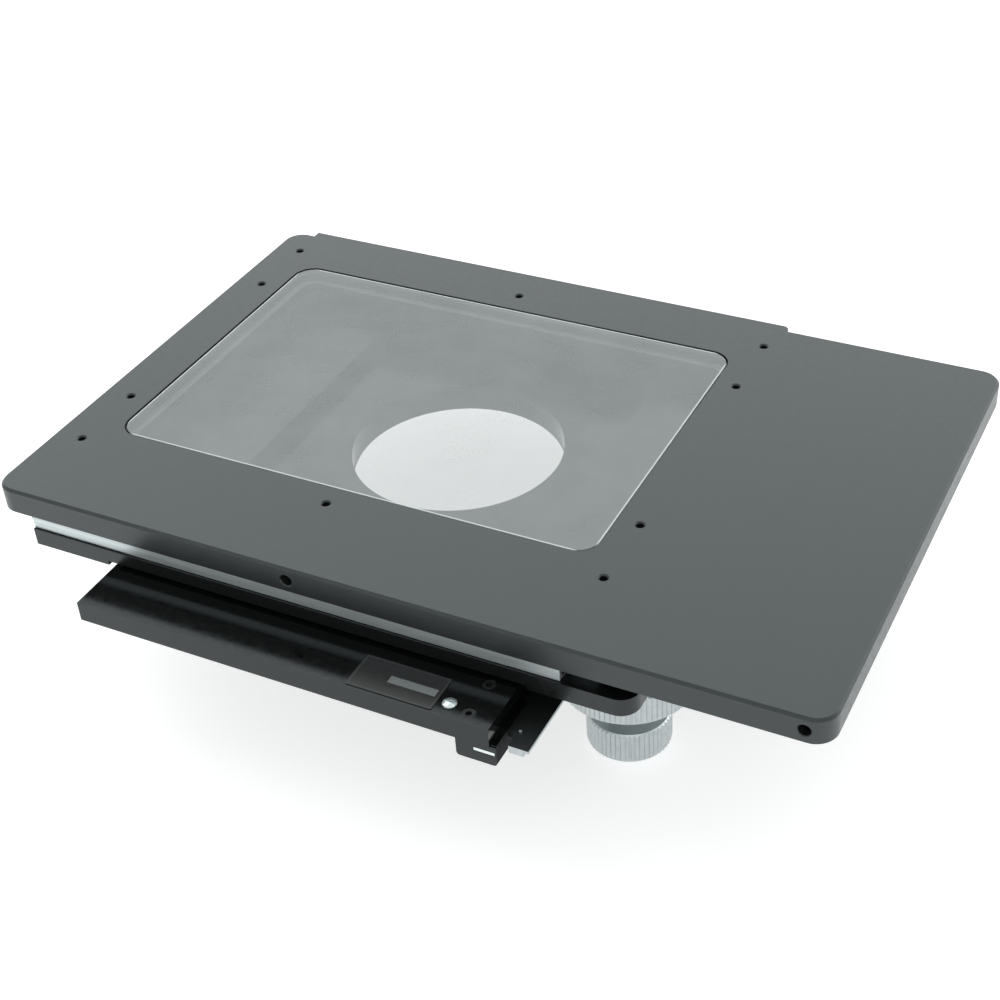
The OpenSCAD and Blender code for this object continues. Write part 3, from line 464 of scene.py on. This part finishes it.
DRIVE_AXIS = (0.1143, -0.0755)
top_black = anodised("anodised_top", 0.012, 0.34, 0.000003)
cross_black = anodised("anodised_cross", 0.004, 0.30, 0.000002, 1.5)
bar_black = black_base("anodised_base")
block_black = black_base("anodised_block", 0.7)
plate_black = cut_plate("cut_rack_plate")
steel_x = ground_steel("ground_steel_x", 0)
steel_y = ground_steel("ground_steel_y", 1)
alloy = turned_alloy("turned_alloy", DRIVE_AXIS, 0.56, 0.34)
# The same turned alloy made brighter for the knob chamfers: a painted highlight.
rim_painted_highlight = turned_alloy("turned_rim_painted_highlight", DRIVE_AXIS, 0.92, 0.45)
steel_turned = turned_alloy("turned_steel", DRIVE_AXIS, 0.60, 0.28)
polished = ground_steel("polished_steel", 0, 0.78, 0.16)
oxide = oxide_screw("oxide_screw")
bearing_bronze = bronze("sintered_bronze")

FINISH = {
    top_black: ["top_plate", "rear_rail_carrier"],
    cross_black: ["cross_plate", "bearing_block"],
    bar_black: ["base_plate"],
    block_black: ["clamp_block"],
    plate_black: ["rack_plate"],
    steel_x: ["x_rail_front_moving", "x_rail_rear_moving", "x_rail_front_fixed",
              "x_rail_rear_fixed", "x_rack", "x_stop_pins", "x_stop_block_screws"],
    steel_y: ["y_rail_left_fixed", "y_rail_right_fixed", "y_rail_left_moving",
              "y_rail_right_moving", "y_stop_pin", "rack_plate_screws"],
    steel_turned: ["x_pinion", "y_pinion", "y_drive_tube", "x_drive_shaft", "tube_collar"],
    polished: ["drag_screw", "clamp_block_insert", "rack_plate_pin", "x_balls", "y_balls"],
    oxide: ["carrier_screws", "x_rail_screws_moving", "x_rail_screws_fixed",
            "y_rail_screws_moving", "y_rail_screws_fixed", "x_rail_end_screws",
            "x_rack_screws", "bearing_block_screws", "clamp_block_screws", "x_stop_block",
            "y_knob_grub_screw", "x_knob_grub_screw"],
    bearing_bronze: ["tube_bearing", "shaft_bearing", "tube_bushes", "x_thrust_washer",
                     "x_cage_front", "x_cage_rear", "y_cage_left", "y_cage_right"],
    glass("veiled_glass"): ["glass_insert"],
    gasket("seat_tape"): ["glass_gasket"],
    label("blank_label"): ["label_plate"],
}
for material, names in FINISH.items():
    for name in names:
        for entry in nodes[name].material_slots:
            entry.material = material


# ---- Fluted knobs ----

FLUTE_STEPS = 10
FLUTE_DEPTH = 0.55 * MM
FLUTE_SHARPNESS = 1.5
GRIP_POINTS = 4
KNOB_CHAMFER = 0.8 * MM
RIM_W = 5 * MM
RECESS_D = 1.2 * MM
HUB_CHAMFER = 0.4 * MM
GRUB_R = 1.5 * MM
GRUB_SIDES = 40
CRISP_DEGREES = 28


def flute(turn, count):
    """How deep the grip is cut at that angle, from 0 on a ridge to 1 in a groove. The ridges
    are broader than the grooves."""
    wave = 0.5 - 0.5 * math.cos(turn * count)
    return wave ** FLUTE_SHARPNESS


def knob_mesh(name, radius, count, z0, z1, inner, blind):
    """A turned grip with straight flutes. inner is the rest of its outline, from the upper
    face round through the bore to the lower face, as (radius, height) pairs. blind names the
    outline point where the bore ends in a floor, or is None for a bore right through."""
    bm = bmesh.new()
    # Outline points that start the two chamfers; their faces take the second material, the brighter
    # copy of the alloy that paints a highlight.
    chamfers = (0, 2)
    steps = count * FLUTE_STEPS
    cone = radius - KNOB_CHAMFER
    rings = []
    for i in range(steps):
        turn = 2 * math.pi * i / steps
        cut = flute(turn, count) * FLUTE_DEPTH
        outline = [
            (cone, z0),
            (radius - cut, z0 + KNOB_CHAMFER - cut),
            (radius - cut, z1 - KNOB_CHAMFER + cut),
            (cone, z1),
        ] + inner
        rings.append([
            bm.verts.new((
                DRIVE_AXIS[0] + r * math.cos(turn), DRIVE_AXIS[1] + r * math.sin(turn), z,
            ))
            for r, z in outline
        ])
    for i, ring in enumerate(rings):
        after = rings[(i + 1) % steps]
        for j in range(len(ring)):
            k = (j + 1) % len(ring)
            if j != blind:
                face = bm.faces.new((ring[j], after[j], after[k], ring[k]))
                face.material_index = int(j in chamfers)
    if blind is not None:
        for j in (blind, blind + 1):
            bm.faces.new([ring[j] for ring in rings])
    bmesh.ops.recalc_face_normals(bm, faces=bm.faces)
    mesh = bpy.data.meshes.new(name)
    bm.to_mesh(mesh)
    bm.free()
    mesh.materials.append(alloy)
    mesh.materials.append(rim_painted_highlight)
    return mesh


def grub_cutter(z, hub, bore):
    """The radial hole for the grub screw, as a mesh to cut away."""
    bm = bmesh.new()
    reach = (DRIVE_AXIS[1] - hub - 2 * MM, DRIVE_AXIS[1] - bore / 2)
    for i in range(GRUB_SIDES):
        turn = 2 * math.pi * i / GRUB_SIDES
        for y in reach:
            bm.verts.new((
                DRIVE_AXIS[0] + GRUB_R * math.cos(turn), y, z + GRUB_R * math.sin(turn),
            ))
    bm.verts.ensure_lookup_table()
    for i in range(GRUB_SIDES):
        a, b = 2 * i, 2 * ((i + 1) % GRUB_SIDES)
        bm.faces.new((bm.verts[a], bm.verts[b], bm.verts[b + 1], bm.verts[a + 1]))
    for end in (0, 1):
        bm.faces.new([bm.verts[2 * i + end] for i in range(GRUB_SIDES)])
    bmesh.ops.recalc_face_normals(bm, faces=bm.faces)
    mesh = bpy.data.meshes.new("grub_cutter")
    bm.to_mesh(mesh)
    bm.free()
    return mesh


def carve(piece, cutter_mesh):
    """Cuts the cutter out of the piece for good and removes the cutter."""
    cutter = bpy.data.objects.new("grub_cutter", cutter_mesh)
    scene.collection.objects.link(cutter)
    cut = piece.modifiers.new("grub_hole", "BOOLEAN")
    cut.operation = "DIFFERENCE"
    cut.solver = "EXACT"
    cut.object = cutter
    done = bpy.data.meshes.new_from_object(
        piece.evaluated_get(bpy.context.evaluated_depsgraph_get())
    )
    piece.modifiers.clear()
    piece.data = done
    bpy.data.objects.remove(cutter)


def shade(mesh, degrees):
    """Smooth faces, with edges sharper than the angle kept crisp."""
    bm = bmesh.new()
    bm.from_mesh(mesh)
    for face in bm.faces:
        face.smooth = True
    for edge in bm.edges:
        edge.smooth = edge.calc_face_angle(0) < math.radians(degrees)
    bm.to_mesh(mesh)
    bm.free()


def add_knob(name, node, body, radius, count, grip, top, hub, bore, grub_z, bore_end=None):
    """A fluted knob in place of the plain CAD one. grip holds the heights of its grip, top is
    that of its hub, and bore_end is where a blind bore stops, or None for one right through."""
    z0, z1 = grip
    recess_r = radius - RIM_W
    recess_z = z0 + RECESS_D
    inner = [(hub, z1), (hub, top - HUB_CHAMFER), (hub - HUB_CHAMFER, top), (bore, top)]
    blind = None
    if bore_end is not None:
        inner.append((bore, bore_end))
        blind = GRIP_POINTS + len(inner) - 1
    inner += [(bore, recess_z), (recess_r, recess_z), (recess_r, z0)]
    mesh = knob_mesh(name, radius, count, z0, z1, inner, blind)
    knob = bpy.data.objects.new(name, mesh)
    scene.collection.objects.link(knob)
    carve(knob, grub_cutter(grub_z, hub, bore))
    shade(knob.data, CRISP_DEGREES)
    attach(knob, body)
    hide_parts(node)


Y_GRIP = (-21.4 * MM, -7.4 * MM)
Y_TOP = -4 * MM
X_GRIP = (-52.4 * MM, -37.4 * MM)
X_TOP = -21.8 * MM
add_knob(
    "y_knob_fluted", "y_knob", "y_drive", radius=28.2 * MM, count=81, grip=Y_GRIP, top=Y_TOP,
    hub=10 * MM, bore=5 * MM, grub_z=(Y_GRIP[1] + Y_TOP) / 2,
)
add_knob(
    "x_knob_fluted", "x_knob", "x_drive", radius=17.6 * MM, count=52, grip=X_GRIP, top=X_TOP,
    hub=9 * MM, bore=2.5 * MM, grub_z=X_TOP - 6 * MM, bore_end=X_GRIP[0] + 4 * MM,
)
